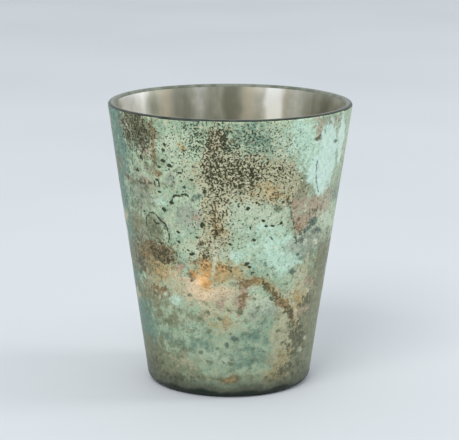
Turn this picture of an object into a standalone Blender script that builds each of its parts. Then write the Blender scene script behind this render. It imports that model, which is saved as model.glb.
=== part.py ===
"""A tealight holder: a tapered, silvered-glass cup with a tealight standing loose on its floor.

Frame: metres, +Z up, origin on the glass cup's axis at the plane that it stands on. The view that
the holder is shown from looks along +Y, with +X to the right.

Pieces, from the outside in:
  glass_cup       the tapered glass, round-edged at the rim, with a shallow punt under its floor
  tealight_cup    the thin aluminium cup of the tealight, with a rolled rim
  wax             the candle puck, with a through hole for the wick and a recess for its foot
  wick_sustainer  the tinned-steel disc and crimped neck that stand the wick up
  wick            the cotton wick, whose burning end leans over
"""

import math

import bpy
from mathutils import Vector

MM = 0.001
GAP = 0.3 * MM  # between pieces that touch

# The glass cup
GLASS_HEIGHT = 93.0 * MM
GLASS_RIM_R = 40.15 * MM  # the outer wall's line at full height, before the edge is rounded
GLASS_FOOT_R = 26.7 * MM  # the same line carried down to the bench
GLASS_WALL = 2.2 * MM
GLASS_FLOOR = 4.5 * MM  # height of the floor that the tealight stands on
GLASS_EDGE_R = 1.0 * MM  # the rim's rounding, nearly half the wall
GLASS_HEEL_R = 3.0 * MM  # outer rounding from the wall to the foot
GLASS_CORNER_R = 3.0 * MM  # inner rounding from the floor to the wall
FOOT_RING_R = 16.5 * MM  # inner edge of the flat ring that the glass stands on
PUNT_RISE = 1.2 * MM  # height of the hollow inside that ring

# The tealight, whose place on the floor is a little to the left and towards the front
TEALIGHT_X = -5.2 * MM
TEALIGHT_Y = -1.5 * MM
TIN_HEIGHT = 15.5 * MM
TIN_FOOT_R = 18.0 * MM
TIN_TOP_R = 18.5 * MM
TIN_WALL = 0.3 * MM
TIN_CORNER_R = 1.5 * MM
TIN_BEAD = 0.9 * MM  # the rolled rim's height, and how far it stands out
TIN_BEAD_R = 0.4 * TIN_BEAD  # rounding of that rim

WAX_DEPTH = 11.5 * MM
WAX_TOP_R = 0.8 * MM  # rounding of the puck's edges
POOL_R = 14.0 * MM  # where the melted pool's bed is level
POOL_BANK = 1.8 * MM  # width of the slope up from it
POOL_DEPTH = 0.9 * MM
POOL_EDGE_R = 0.8 * MM  # rounding where the bed meets that slope
BANK_EDGE_R = 0.5 * MM  # and where the slope meets the rim of unmelted wax
WICK_HOLE_R = 0.95 * MM

SUSTAINER_R = 6.0 * MM
SUSTAINER_T = 0.35 * MM
NECK_R = 1.35 * MM
NECK_BORE_R = 0.95 * MM
NECK_HEIGHT = 3.8 * MM
NECK_FLARE_R = 0.4 * MM  # rounding from the disc up to the neck
STEEL_EDGE_R = 0.12 * MM

WICK_R = 0.65 * MM
WICK_FREE = 7.4 * MM  # the length that stands out of the wax
WICK_LEAN = 2.0 * MM  # how far its tip has leaned to the left

# Heights that follow from the pieces below
TIN_BASE_Z = GLASS_FLOOR + GAP
CANDLE_BASE_Z = TIN_BASE_Z + TIN_WALL + GAP
POOL_Z = CANDLE_BASE_Z + WAX_DEPTH - POOL_DEPTH

TURNS_GLASS = 96
TURNS_TEALIGHT = 64
TURNS_SMALL = 32
PUNT_STEPS = 4
WICK_STEPS = 8  # along the stretch that bends


def clear_scene():
    for thing in list(bpy.data.objects):
        bpy.data.objects.remove(thing, do_unlink=True)


def material(name, colour, roughness, metallic):
    made = bpy.data.materials.new(name)
    made.use_nodes = True
    shader = made.node_tree.nodes["Principled BSDF"]
    shader.inputs["Base Color"].default_value = (*colour, 1)
    shader.inputs["Roughness"].default_value = roughness
    shader.inputs["Metallic"].default_value = metallic
    return made


def rounded(corners, closed=False):
    """The outline through corners of (radius, height, rounding, arc steps), each turned on an arc."""
    points = []
    for i, (x, z, rounding, steps) in enumerate(corners):
        corner = Vector((x, z))
        if not rounding:
            points.append(corner)
            continue
        before = Vector(corners[i - 1][:2])
        after = Vector(corners[(i + 1) % len(corners)][:2])
        to_before = (before - corner).normalized()
        to_after = (after - corner).normalized()
        half = to_before.angle(to_after) / 2
        centre = corner + (to_before + to_after).normalized() * rounding / math.sin(half)
        start = corner + to_before * rounding / math.tan(half) - centre
        sweep = start.angle_signed(corner + to_after * rounding / math.tan(half) - centre)
        for step in range(steps + 1):
            turn = -sweep * step / steps
            cos, sin = math.cos(turn), math.sin(turn)
            spoke = Vector((start.x * cos - start.y * sin, start.x * sin + start.y * cos))
            points.append(centre + spoke)
    return points + points[:1] if closed else points


def turned(name, outline, turns, finish, place=(0, 0, 0)):
    """A solid of revolution about its own Z axis, from an outline that runs down its outer side."""
    mesh = bpy.data.meshes.new(name)
    edges = [(i, i + 1) for i in range(len(outline) - 1)]
    mesh.from_pydata([(p.x, 0, p.y) for p in outline], edges, [])
    thing = bpy.data.objects.new(name, mesh)
    bpy.context.collection.objects.link(thing)
    thing.location = place
    mesh.materials.append(finish)
    screw = thing.modifiers.new("turn", "SCREW")
    screw.steps = screw.render_steps = turns
    screw.use_merge_vertices = True
    screw.merge_threshold = 0.00001
    screw.use_smooth_shade = True
    return thing


def make_glass_cup():
    lean = math.atan2(GLASS_RIM_R - GLASS_FOOT_R, GLASS_HEIGHT)
    across = GLASS_WALL / math.cos(lean)  # the wall's thickness measured level
    inner_floor_r = GLASS_FOOT_R + GLASS_FLOOR * math.tan(lean) - across
    outline = rounded([
        (0, GLASS_FLOOR, 0, 0),
        (inner_floor_r, GLASS_FLOOR, GLASS_CORNER_R, 5),
        (GLASS_RIM_R - across, GLASS_HEIGHT, GLASS_EDGE_R, 4),
        (GLASS_RIM_R, GLASS_HEIGHT, GLASS_EDGE_R, 4),
        (GLASS_FOOT_R, 0, GLASS_HEEL_R, 6),
        (FOOT_RING_R, 0, 0, 0),
    ])
    # The punt is a cap of a sphere, so its centre is flat and meets the foot ring at a slight edge.
    sphere_r = (FOOT_RING_R**2 + PUNT_RISE**2) / (2 * PUNT_RISE)
    edge_angle = math.asin(FOOT_RING_R / sphere_r)
    for step in reversed(range(PUNT_STEPS)):
        angle = edge_angle * step / PUNT_STEPS
        height = PUNT_RISE - sphere_r * (1 - math.cos(angle))
        outline.append(Vector((sphere_r * math.sin(angle), height)))
    finish = material("glass_cup", (0.39, 0.55, 0.45), 0.35, 0.0)
    return turned("glass_cup", outline, TURNS_GLASS, finish)


def make_tealight_cup():
    inner_foot_r = TIN_FOOT_R - TIN_WALL
    inner_top_r = TIN_TOP_R - TIN_WALL
    bead_r = TIN_TOP_R + TIN_BEAD
    outline = rounded([
        (0, TIN_WALL, 0, 0),
        (inner_foot_r, TIN_WALL, TIN_CORNER_R - TIN_WALL, 4),
        (inner_top_r, TIN_HEIGHT, TIN_BEAD_R, 3),
        (bead_r, TIN_HEIGHT, TIN_BEAD_R, 3),
        (bead_r, TIN_HEIGHT - TIN_BEAD, TIN_BEAD_R, 3),
        (TIN_TOP_R, TIN_HEIGHT - TIN_BEAD, 0, 0),
        (TIN_FOOT_R, 0, TIN_CORNER_R, 4),
        (0, 0, 0, 0),
    ])
    place = (TEALIGHT_X, TEALIGHT_Y, TIN_BASE_Z)
    finish = material("tealight_cup", (0.80, 0.80, 0.81), 0.3, 1.0)
    return turned("tealight_cup", outline, TURNS_TEALIGHT, finish, place)


def make_wax():
    slope = (TIN_TOP_R - TIN_FOOT_R) / TIN_HEIGHT
    foot_r = TIN_FOOT_R - TIN_WALL - GAP
    top_r = foot_r + slope * WAX_DEPTH
    bank_r = POOL_R + POOL_BANK
    pool_z = WAX_DEPTH - POOL_DEPTH
    recess_z = SUSTAINER_T + GAP
    neck_top_z = SUSTAINER_T + NECK_HEIGHT + GAP
    outline = rounded([
        (WICK_HOLE_R, pool_z, 0, 0),
        (POOL_R, pool_z, POOL_EDGE_R, 3),
        (bank_r, WAX_DEPTH, BANK_EDGE_R, 3),
        (top_r, WAX_DEPTH, WAX_TOP_R, 4),
        (foot_r, 0, TIN_CORNER_R, 4),
        (SUSTAINER_R + GAP, 0, 0, 0),
        (SUSTAINER_R + GAP, recess_z, 0, 0),
        (NECK_R + GAP, recess_z, 0, 0),
        (NECK_R + GAP, neck_top_z, 0, 0),
        (WICK_HOLE_R, neck_top_z, 0, 0),
    ], closed=True)
    place = (TEALIGHT_X, TEALIGHT_Y, CANDLE_BASE_Z)
    finish = material("wax", (0.90, 0.88, 0.80), 0.45, 0.0)
    return turned("wax", outline, TURNS_TEALIGHT, finish, place)


def make_wick_sustainer():
    neck_z = SUSTAINER_T + NECK_HEIGHT
    outline = rounded([
        (NECK_BORE_R, neck_z, 0, 0),
        (NECK_R, neck_z, STEEL_EDGE_R, 2),
        (NECK_R, SUSTAINER_T, NECK_FLARE_R, 3),
        (SUSTAINER_R, SUSTAINER_T, STEEL_EDGE_R, 2),
        (SUSTAINER_R, 0, STEEL_EDGE_R, 2),
        (NECK_BORE_R, 0, 0, 0),
    ], closed=True)
    place = (TEALIGHT_X, TEALIGHT_Y, CANDLE_BASE_Z)
    finish = material("wick_sustainer", (0.62, 0.62, 0.63), 0.35, 1.0)
    return turned("wick_sustainer", outline, TURNS_SMALL, finish, place)


def make_wick():
    """A round cord, upright to the wax's surface and bending over above it."""
    curve = bpy.data.curves.new("wick", "CURVE")
    curve.dimensions = "3D"
    curve.bevel_depth = WICK_R
    curve.bevel_resolution = 3
    curve.use_fill_caps = True
    surface_z = POOL_Z - CANDLE_BASE_Z
    points = [(0, 0, 0), (0, 0, surface_z / 2), (0, 0, surface_z)]
    for step in range(1, WICK_STEPS + 1):
        share = step / WICK_STEPS
        points.append((-WICK_LEAN * share**2, 0, surface_z + WICK_FREE * share))
    spline = curve.splines.new("POLY")
    spline.points.add(len(points) - 1)
    for point, place in zip(spline.points, points):
        point.co = (*place, 1)
    thing = bpy.data.objects.new("wick", curve)
    bpy.context.collection.objects.link(thing)
    thing.location = (TEALIGHT_X, TEALIGHT_Y, CANDLE_BASE_Z)
    curve.materials.append(material("wick", (0.10, 0.08, 0.07), 0.9, 0.0))
    return thing


def main():
    clear_scene()
    make_glass_cup()
    make_tealight_cup()
    make_wax()
    make_wick_sustainer()
    make_wick()


main()
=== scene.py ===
"""The looks of the tealight holder: a silvered glass cup with a verdigris coat, and a burning tealight.

The coat is laid out on the glass in degrees round the cup and millimetres up it. Angle 0 faces the
camera and positive angles run to its right. Stains are ellipses and strokes, written to the mesh as
one attribute per finish. Some of them, and the bands of the silver inside, are partly painted light:
the flame's glow, a window's reflection, shade at the left edge and reflections in the silver. The
material turns each attribute into paint with ragged edges, pinholes and relief, all from nodes.
"""

import math
import random

import bmesh
import bpy
import numpy as np
from mathutils import Matrix, Vector, noise


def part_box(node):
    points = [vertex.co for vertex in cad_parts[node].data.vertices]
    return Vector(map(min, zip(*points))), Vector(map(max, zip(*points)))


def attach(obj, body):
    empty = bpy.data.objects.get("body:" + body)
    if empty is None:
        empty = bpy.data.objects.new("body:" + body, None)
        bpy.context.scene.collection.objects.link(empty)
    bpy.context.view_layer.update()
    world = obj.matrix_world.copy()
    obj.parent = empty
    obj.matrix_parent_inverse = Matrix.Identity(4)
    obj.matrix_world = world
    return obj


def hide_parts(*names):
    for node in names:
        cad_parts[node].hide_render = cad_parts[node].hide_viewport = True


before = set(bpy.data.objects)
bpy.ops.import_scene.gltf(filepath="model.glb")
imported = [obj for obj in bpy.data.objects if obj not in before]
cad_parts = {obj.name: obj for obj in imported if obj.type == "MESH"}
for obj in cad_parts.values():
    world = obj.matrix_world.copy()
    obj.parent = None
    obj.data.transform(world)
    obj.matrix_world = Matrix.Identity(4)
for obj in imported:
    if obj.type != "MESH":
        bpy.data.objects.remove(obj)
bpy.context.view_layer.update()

MM = 0.001
noise.seed_set(2)  # noise_vector starts from the clock unless it is seeded

# The frame that everything is worked out from
_, GLASS_HIGH = (Vector(corner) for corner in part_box("glass_cup"))
TIN_LOW, TIN_HIGH = (Vector(corner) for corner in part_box("tealight_cup"))
WAX_LOW, WAX_HIGH = (Vector(corner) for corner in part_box("wax"))
WICK_LOW, WICK_HIGH = (Vector(corner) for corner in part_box("wick"))
STEEL_LOW, STEEL_HIGH = (Vector(corner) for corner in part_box("wick_sustainer"))

# The glass, as in the CAD
GLASS_HEIGHT = GLASS_HIGH.z
GLASS_RIM_R = 40.15 * MM
GLASS_FOOT_R = 26.7 * MM
GLASS_WALL = 2.2 * MM
GLASS_FLOOR = 4.5 * MM
GLASS_EDGE_R = 1.05 * MM  # a little rounder than in the CAD
GLASS_HEEL_R = 3.0 * MM
GLASS_CORNER_R = 3.0 * MM
FOOT_RING_R = 16.5 * MM
FOOT_RING_EDGE_R = 0.8 * MM  # sharp in the CAD
PUNT_RISE = 1.2 * MM
BARE_RIM = 0.7 * MM  # the coat stops this far below the edge
BARE_RIM_INSIDE = 1.15 * MM  # and the silver this far
LEAN = math.atan2(GLASS_RIM_R - GLASS_FOOT_R, GLASS_HEIGHT)
ACROSS = GLASS_WALL / math.cos(LEAN)  # the wall's thickness measured level

# The tealight, as in the CAD
AXIS = Vector(((TIN_LOW.x + TIN_HIGH.x) / 2, (TIN_LOW.y + TIN_HIGH.y) / 2, 0))
TIN_FOOT_R = 18.0 * MM
TIN_TOP_R = 18.5 * MM
TIN_WALL = 0.3 * MM
TIN_CORNER_R = 1.5 * MM
TIN_BEAD = 0.9 * MM
TIN_BEAD_R = 0.4 * MM  # outside, a little rounder than in the CAD
GAP = 0.3 * MM
POOL_R = 14.0 * MM
POOL_BANK = 1.8 * MM
POOL_DEPTH = 0.9 * MM
POOL_EDGE_R = 0.8 * MM
BANK_EDGE_R = 0.5 * MM
WAX_TOP_R = 0.8 * MM
WICK_HOLE_R = 0.95 * MM
WICK_R = 0.65 * MM
WICK_LEAN = 2.0 * MM
SUSTAINER_R = 6.0 * MM
SUSTAINER_T = 0.35 * MM
NECK_R = 1.35 * MM
NECK_FLARE_R = 0.4 * MM
STEEL_EDGE_R = 0.12 * MM

# The flame, which the CAD leaves out
FLAME_HEIGHT = 21.0 * MM
FLAME_GIRTH = 5.848 * MM  # its greatest radius is 0.4 of this
FLAME_DRIFT = 3.4 * MM  # how far its tip leans to the left of its foot
FLAME_OVERLAP = 4.5 * MM  # how far down the wick it starts

# How finely the pieces are meshed
ARC_STEPS = 8
PUNT_STEPS = 6
TURNS_GLASS = 400
TURNS_TIN = 288
TURNS_WAX = 192
TURNS_POOL = 128
TURNS_STEEL = 96
TURNS_FLAME = 64


def rgb(text):
    """A colour written as six sRGB hex digits, as Blender's linear colour."""
    values = [int(text[i:i + 2], 16) / 255 for i in (0, 2, 4)]
    return (*[v / 12.92 if v <= 0.04045 else ((v + 0.055) / 1.055) ** 2.4 for v in values], 1)


class Paint:
    """A material's node tree. Most calls add nodes and give back the last one's output."""

    def __init__(self, name, **values):
        self.material = bpy.data.materials.new(name)
        self.material.use_nodes = True
        self.tree = self.material.node_tree
        self.shader = self.tree.nodes["Principled BSDF"]
        self.place = self.add("TexCoord", output="Object")
        for key, value in values.items():
            self.shader.inputs[key.replace("_", " ")].default_value = value

    def add(self, kind, inputs=(), output=0, **settings):
        node = self.tree.nodes.new("ShaderNode" + kind)
        for key, value in settings.items():
            setattr(node, key, value)
        for key, value in dict(inputs).items():
            if isinstance(value, bpy.types.NodeSocket):
                self.tree.links.new(value, node.inputs[key])
            else:
                node.inputs[key].default_value = value
        return node.outputs[output]

    def math(self, operation, a, b):
        return self.add("Math", {0: a, 1: b}, operation=operation)

    def times(self, a, b):
        return self.math("MULTIPLY", a, b)

    def noise(self, size, detail=2.0, rough=0.5, stretch=None, twist=0.0):
        """Noise whose lumps are about size across, drawn out by stretch along each axis."""
        place = self.place
        if stretch:
            place = self.add("VectorMath", {0: place, 1: stretch}, operation="DIVIDE")
        inputs = {"Vector": place, "Scale": 1 / size, "Detail": detail, "Roughness": rough}
        return self.add("TexNoise", {**inputs, "Distortion": twist})

    def dots(self, cell, radius, share):
        """Round specks of up to radius, in a share of cells that are cell across."""
        node = self.add("TexVoronoi", {"Vector": self.place, "Scale": 1 / cell}).node
        lot = self.add("SeparateColor", {0: node.outputs["Color"]})
        grown = self.times(self.math("SUBTRACT", share, lot), 3.0)
        reach = self.times(self.math("MINIMUM", grown, 1.0), radius / cell)
        return self.ramp(self.math("SUBTRACT", reach, node.outputs["Distance"]), -0.02, 0.06)

    def ramp(self, value, low, high, to_low=0.0, to_high=1.0):
        """From to_low, where value is at low, smoothly to to_high, where it is at high."""
        inputs = {0: value, 1: low, 2: high, 3: to_low, 4: to_high}
        return self.add("MapRange", inputs, interpolation_type="SMOOTHSTEP")

    def mix(self, share, a, b):
        """A colour that is a, with a share of b. Either may be written for rgb."""
        a, b = (rgb(side) if isinstance(side, str) else side for side in (a, b))
        return self.add("Mix", {0: share, 6: a, 7: b}, 2, data_type="RGBA")

    def between(self, share, a, b):
        """A number that is a, with a share of b."""
        return self.add("Mix", {0: share, 2: a, 3: b})

    def mask(self, name):
        """The mesh's attribute of that name."""
        return self.add("Attribute", output="Fac", attribute_name=name)

    def cover(self, name, grain, ragged, soft):
        """How far the stain called name covers the coat here, with its edge broken up by noise."""
        edge = self.times(self.math("SUBTRACT", self.noise(grain, 6, 0.72), 0.5), ragged)
        return self.ramp(self.math("ADD", self.mask(name), edge), 0.5 - soft, 0.5 + soft)

    def relief(self, height, depth, strength):
        """Sets the shader's normal from a height of 0 to 1 that stands for depth."""
        inputs = {"Height": height, "Distance": depth, "Strength": strength}
        self.put("Normal", self.add("Bump", inputs))

    def put(self, socket, value):
        self.tree.links.new(value, self.shader.inputs[socket])


# ---- the layout of the coat
# Each stain: angle, height, half width, half height (mm), tilt (degrees), strength.
STAINS = {
    "teal": [
        # The strongest teal at the left edge, from -76 to -61 degrees, is partly teal stain and partly
        # painted shade on that side of the cup.
        (-73, 84, 8, 13, 0, 1.3), (-76, 66, 6, 9, 0, 1.2), (-71, 24, 8, 13, 8, 1.25),
        (72, 42, 6, 8, 0, 0.85), (71, 12, 5, 5, 0, 0.7), (-71, 46, 6, 12, -8, 1.2), (9, 88, 9, 4.5, 0, 0.46),
        (13, 84, 8, 4, 0, 0.5), (-22, 18, 9, 4, 0, 0.55), (-62, 75, 7, 8, 0, 0.62), (-61, 64, 6, 6, 0, 0.6),
        (-63, 34, 5, 9, 0, 0.62), (-67, 15, 7, 8, 0, 1.1), (-42, 18, 5, 2.6, 0, 0.55),
        (16, 21, 6, 6, 0, 0.58), (12, 14, 8, 4, 0, 0.58), (75, 64, 6, 4, 0, 0.6), (-20, 24, 5, 3, 0, 0.52),
        (24, 16, 5, 6, 0, 0.55),
    ],
    "sage": [
        (-26, 81, 7, 12, 0, 0.45), (14, 64, 13, 5, 0, 0.9), (-24, 66, 6, 6, 0, 0.5),
        (-19, 50, 4, 5, 0, 0.55), (3, 34, 8, 6, 0, 0.7), (20, 32, 8, 3, 0, 0.75), (-33, 39, 8, 5, 0, 0.56),
        (-8, 14, 10, 4, 0, 0.5), (-90, 48, 6, 7, 0, 0.9), (27, 82, 6, 8, 0, 0.6), (60, 58, 7, 6, 0, 0.8),
        (12, 61, 12, 5, 0, 0.75), (72, 54, 4, 4, 0, 0.7), (-25, 27, 6, 3, 0, 0.5), (-47, 66, 6, 6, 0, 0.42),
    ],
    "olive": [
        (64, 22, 11, 22, 0, 1.1), (66, 44, 9, 9, 0, 0.85), (38, 70, 4, 7, -25, 0.85),
        (35, 63, 2.2, 5, -15, 0.6), (43, 46, 7, 5.5, 0, 0.8), (62, 30, 12, 12, 0, 0.8),
        (-40, 26, 9, 3, 0, 0.66), (-55, 9, 14, 7, 0, 1.1), (-6, 87, 6, 5, 0, 0.58), (-57, 55, 7, 5, 0, 0.85),
        (-45, 55.5, 5, 4.4, 0, 0.95), (-43, 77, 6, 4.6, 0, 0.6), (-49, 69, 7, 5, 0, 0.7),
        (-92, 70, 6, 8, 0, 0.9), (-89, 12, 6, 5, 0, 0.9), (-20, 28, 8, 2.4, 0, 0.6),
        (33, 12.5, 4, 3, 0, 0.7), (10, 7.5, 12, 2, 0, 0.6), (-53, 45, 11, 7, 0, 1.0),
        (-20, 7.5, 10, 2, 0, 0.65), (-45, 7, 9, 3, 0, 0.9), (-52, 62, 8, 3, 0, 0.55),
        (50, 10, 10, 8, 0, 0.9), (-51, 33, 12, 5, 0, 0.88), (-49, 88.5, 8, 5.6, 0, 0.9),
    ],
    "khaki": [
        (-7, 68, 4.4, 24, 0, 1.0), (2, 75, 12, 6.5, 0, 1.1), (24, 73, 8, 6, -20, 1.2),
        (10, 69, 8, 3, -10, 0.8), (-44, 36, 8, 6, 0, 0.56), (-24, 36, 10, 5, 0, 0.8),
        (-4, 33, 9, 6, 0, 0.85), (38, 20, 5, 15, 0, 1.0), (44, 34, 6, 5, -30, 0.8), (-2, 26, 6, 5, 0, 0.6),
        (-36, 42, 6, 4, 0, 0.55), (-33, 12, 7, 2.4, 0, 0.6), (46, 42, 4, 6, 0, 0.6), (-8, 52, 6, 7, 0, 0.95),
        (-94, 30, 7, 6, 0, 0.9), (-88, 88, 5, 4, 0, 0.8),
    ],
    "mint": [
        (30, 49, 8, 6, -15, 1.15), (17, 52, 7, 4, 0, 0.52), (-26, 57, 5, 5, 0, 0.3), (-26, 86, 7, 8, 0, 0.2),
        (37, 87, 7, 6, 0, 0.85), (-51, 76, 6, 4.5, 0, 0.3), (5, 49, 7, 4, 0, 0.62),
        (-34, 32.5, 4, 2, 0, 0.6), (-26, 74, 6, 5, 0, 0.2), (-36, 65, 5, 3, 0, 0.5), (18, 57, 8, 3, 0, 0.6),
        (-17, 57, 3, 3, 0, 0.4), (43.5, 80, 6, 8, 0, 0.85),
    ],
    "grey": [
        (-36, 57, 7, 4.4, 0, 0.52), (-50, 68, 8, 9, 0, 0.6), (-50, 53, 6, 2.4, 0, 0.65),
        (-30, 73, 2.4, 3, 0, 0.8), (-21, 61.5, 4.6, 4.6, 0, 0.85), (46, 51, 8, 4, 0, 0.98),
        (72, 66, 6, 5, 0, 0.6), (20, 29, 8, 4, 0, 0.6), (59, 79, 1.4, 8, 12, 0.7), (-44, 76, 2, 2, 0, 0.7),
        (3, 36, 1.6, 2, 0, 0.6), (58, 86, 3, 3, 0, 0.6), (53, 90.5, 8, 2, 0, 0.72),
    ],
    "gold": [
        (-6, 43, 3.4, 3.4, 0, 1.1), (-2, 43.5, 6.4, 2.7, 0, 0.85), (-12, 44.5, 4, 3, 0, 1.0),
        (22, 69, 8, 3, -25, 0.68), (46, 31, 2.6, 4, 0, 0.8), (-17, 41, 4, 3, 0, 0.8), (40, 13, 4, 5, 0, 0.6),
        (-7, 58, 3, 5, 0, 0.6), (-40, 42, 7, 4, 0, 0.76), (-22, 84, 1.8, 1.6, 0, 0.7),
        (41, 29, 3, 4, 0, 0.6), (-2, 26, 5, 3, 0, 0.58), (34, 6.5, 5, 3, 0, 0.9),
    ],
    # Blush round the flame: partly stain, partly a painted glow of the flame shining through the coat.
    "blush_and_glow": [
        (-16, 35.6, 5.5, 2.8, 0, 1.1), (-6, 36.8, 5, 2.4, 0, 0.8), (-30, 40.5, 4, 2, 0, 0.6),
        (-19, 39, 3, 2.4, 0, 1.1), (46, 28, 2, 2, 0, 0.7),
    ],
    "pink": [
        (37, 65, 3.4, 4, -25, 0.6), (51, 63.2, 8, 4, 0, 0.85), (42, 58.6, 4.6, 3.4, 0, 0.95),
        (58, 67, 5, 1.8, 0, 0.65), (-17.3, 61, 1.5, 2, 0, 0.8), (-28, 44.3, 2.4, 1.0, 15, 0.9),
        (-44, 82, 3, 1.6, 0, 0.7), (-60, 70, 2, 1.1, 0, 0.8), (45.5, 88, 2, 4, 0, 0.75),
        (-4.8, 32, 1.6, 2.8, 0, 0.7), (-45, 71, 5, 1.6, 0, 0.55), (7.6, 34.5, 1.5, 5.2, 0, 0.95),
        (57, 90, 3, 1.4, 0, 0.56), (51, 37, 3, 1.6, 0, 0.7), (53, 27, 4, 1.6, 0, 0.6),
    ],
    "rust": [
        (-38.5, 84, 1.1, 8, 0, 0.85), (-37.5, 74.5, 1.8, 1.8, 0, 0.7), (-42, 48.5, 6.5, 3.2, 0, 0.95),
        (-54, 45.5, 5, 3.2, 0, 0.75), (-46, 34.5, 4.2, 2, 0, 0.68), (25, 68, 3, 1.4, -15, 0.48),
        (33, 31.8, 3.2, 1.6, -35, 0.95), (7.8, 36, 1.0, 4.4, 4, 0.74), (6.8, 32, 0.9, 2.6, 0, 0.62),
        (8, 39.4, 2.8, 1.2, 0, 0.95), (1, 6.8, 2.6, 1.3, 0, 1.1), (40.5, 57.6, 3.6, 2.2, 0, 0.66),
        (-5, 44.6, 3.4, 1.4, 0, 0.6), (42, 7.5, 6, 1.6, 0, 0.7), (-17, 46, 3, 1, 0, 0.7),
        (-21.5, 41.5, 1.4, 1.6, 0, 0.8),
    ],
    "umber": [
        (-45.5, 88, 3.2, 6, 0, 0.72), (-56, 88, 3, 6, 0, 0.7), (-45, 83, 4, 2.4, 0, 0.5),
        (-3, 86, 2.6, 4, 0, 0.5), (9.5, 75.5, 3, 3, 0, 0.5), (-8, 75, 2, 2.4, 0, 0.48),
        (-7.2, 61, 0.8, 6.4, 0, 0.6), (-13.4, 50, 1.5, 4.4, 0, 0.6), (-39.5, 47, 5.4, 3.6, 0, 0.7),
        (49, 17, 4.4, 7, 10, 0.75), (52, 31, 3.4, 2.4, 0, 0.75), (-64, 8, 9, 3.6, 0, 0.66),
        (-38, 6, 9, 1.6, 0, 0.66), (48, 8, 8, 2.8, 0, 0.66), (-61, 43, 3, 5, 0, 0.7),
        (38, 28.6, 2.6, 1.4, -35, 0.75), (33, 66, 1.4, 3, -30, 0.5), (46, 85, 2.4, 1, 0, 0.75),
        (47, 60.4, 4, 1.6, 20, 0.58), (41, 54, 3, 1.4, 0, 0.6), (-46, 70.4, 5, 1.3, 0, 0.56),
        (-60, 70, 2.4, 1.2, 0, 0.6),
    ],
    # Amber round the flame: partly warm stain, partly a painted glow of the flame shining through the coat.
    # The one low down by the heel is a rust spot.
    "amber_and_glow": [
        (-13.6, 39.4, 1.5, 2.2, 0, 1.1), (-19.2, 41.8, 1.9, 0.7, -45, 0.9), (-13.0, 43.8, 2.0, 3.6, 0, 0.72),
        (-6, 43.6, 3, 3, 0, 0.42), (1.2, 6.6, 1.8, 0.9, 0, 0.58),
    ],
    # Pale coat at the upper right: partly a paler patch of coat, partly a painted reflection of a window.
    "pale": [
        (55, 79, 4.6, 11.5, 6, 1.0), (52, 73, 4.4, 5, 0, 1.0), (45, 75, 2, 4.6, -16, 0.9),
        (53, 68.5, 3, 2.4, 0, 0.95), (67, 83, 3, 8.6, 8, 0.9), (48.8, 87, 1.0, 2.4, 0, 0.8),
        (-11, 35.2, 3.6, 1.4, 0, 0.35),
    ],
    "slate": [
        (49.6, 57.8, 1.7, 1.6, 0, 1.1), (46.6, 56, 2.0, 1.1, 20, 0.85), (54, 54, 2.4, 1.4, 10, 0.85),
        (47, 52.6, 1.8, 0.9, 0, 0.6), (-17.6, 67.4, 2.4, 1.3, 25, 0.7), (-2.4, 18.8, 0.9, 1.0, 0, 0.9),
        (3.6, 20, 1.7, 0.8, 0, 0.85), (39.5, 42, 1.3, 1.2, 0, 0.9), (39.2, 47.8, 0.9, 0.8, 0, 0.8),
        (43, 46, 1.2, 0.8, 0, 0.7), (19.2, 45.4, 0.9, 1.3, 0, 0.75), (60, 83, 2.2, 0.8, 0, 0.7),
        (41, 52.2, 2.0, 0.9, 0, 0.6),
    ],
    "cream": [
        (44.5, 51, 1.2, 0.9, 0, 1.0), (54.6, 50.3, 1.6, 0.9, 0, 1.0), (52.5, 14, 1.5, 1.2, 0, 0.8),
        (59, 17.4, 1.6, 0.9, 0, 0.8), (53, 33.5, 1.4, 0.7, 0, 0.7), (42, 62.6, 1.0, 2.0, 10, 0.7),
        (-54, 87.6, 2.6, 0.6, -50, 0.8),
    ],
    "moss": [
        (-45, 55.5, 4.6, 3.8, 0, 0.7), (-17.5, 27.3, 0.9, 0.7, 0, 0.9), (-13, 29.3, 0.7, 0.6, 0, 0.9),
        (2, 13.9, 0.8, 0.5, 0, 0.9), (1, 12.4, 1.2, 0.5, 0, 0.9), (-18, 15.6, 1.0, 0.5, 0, 0.9),
        (-8, 17.8, 0.7, 0.5, 0, 0.9), (1.8, 21.8, 0.6, 0.5, 0, 0.9), (22.3, 15.6, 0.8, 0.4, 0, 0.9),
        (-36, 56.5, 0.5, 0.5, 0, 0.9), (-38, 25, 1.2, 0.6, 0, 0.9), (-47, 33.2, 1.2, 0.5, 0, 0.9),
        (-4, 12.3, 0.8, 0.4, 0, 0.9), (25, 63.5, 1.2, 0.9, 0, 0.9), (-40, 24.5, 3, 1, 0, 0.7),
        (-46, 68.5, 2, 0.8, 0, 0.8), (-52, 74.5, 1.6, 0.7, 0, 0.9), (-44, 64, 2, 0.8, 0, 0.7),
        (-56, 70, 3, 0.8, 0, 0.8), (-50, 66, 2, 0.7, 0, 0.7), (-43, 77, 1.6, 1.2, 0, 0.7),
        (-34, 70.5, 1.4, 0.8, 0, 0.7), (-29, 71, 1, 1.4, 0, 0.7), (-55, 64, 3, 0.8, 0, 0.7),
        (-38, 78, 0.8, 2, 0, 0.8), (-27, 76, 1, 1, 0, 0.7), (-60, 62, 3, 1, 0, 0.7),
        (-58, 78, 3, 0.8, 0, 0.7), (-30, 16, 2.4, 0.8, 0, 0.7), (-34, 13, 2, 1, 0, 0.7),
        (10, 22, 1.4, 0.7, 0, 0.7), (15, 17, 1.2, 0.6, 0, 0.6), (-24, 22, 2, 0.8, 0, 0.7),
        (-12, 12.5, 1.6, 0.7, 0, 0.7), (30, 27, 1.4, 1, 0, 0.6), (6.4, 30.2, 0.9, 0.7, 0, 0.9),
        (9, 27, 1.6, 0.8, 0, 0.6), (-12, 23, 2, 1, 0, 0.6), (41, 23, 2, 2, 0, 0.7),
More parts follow.
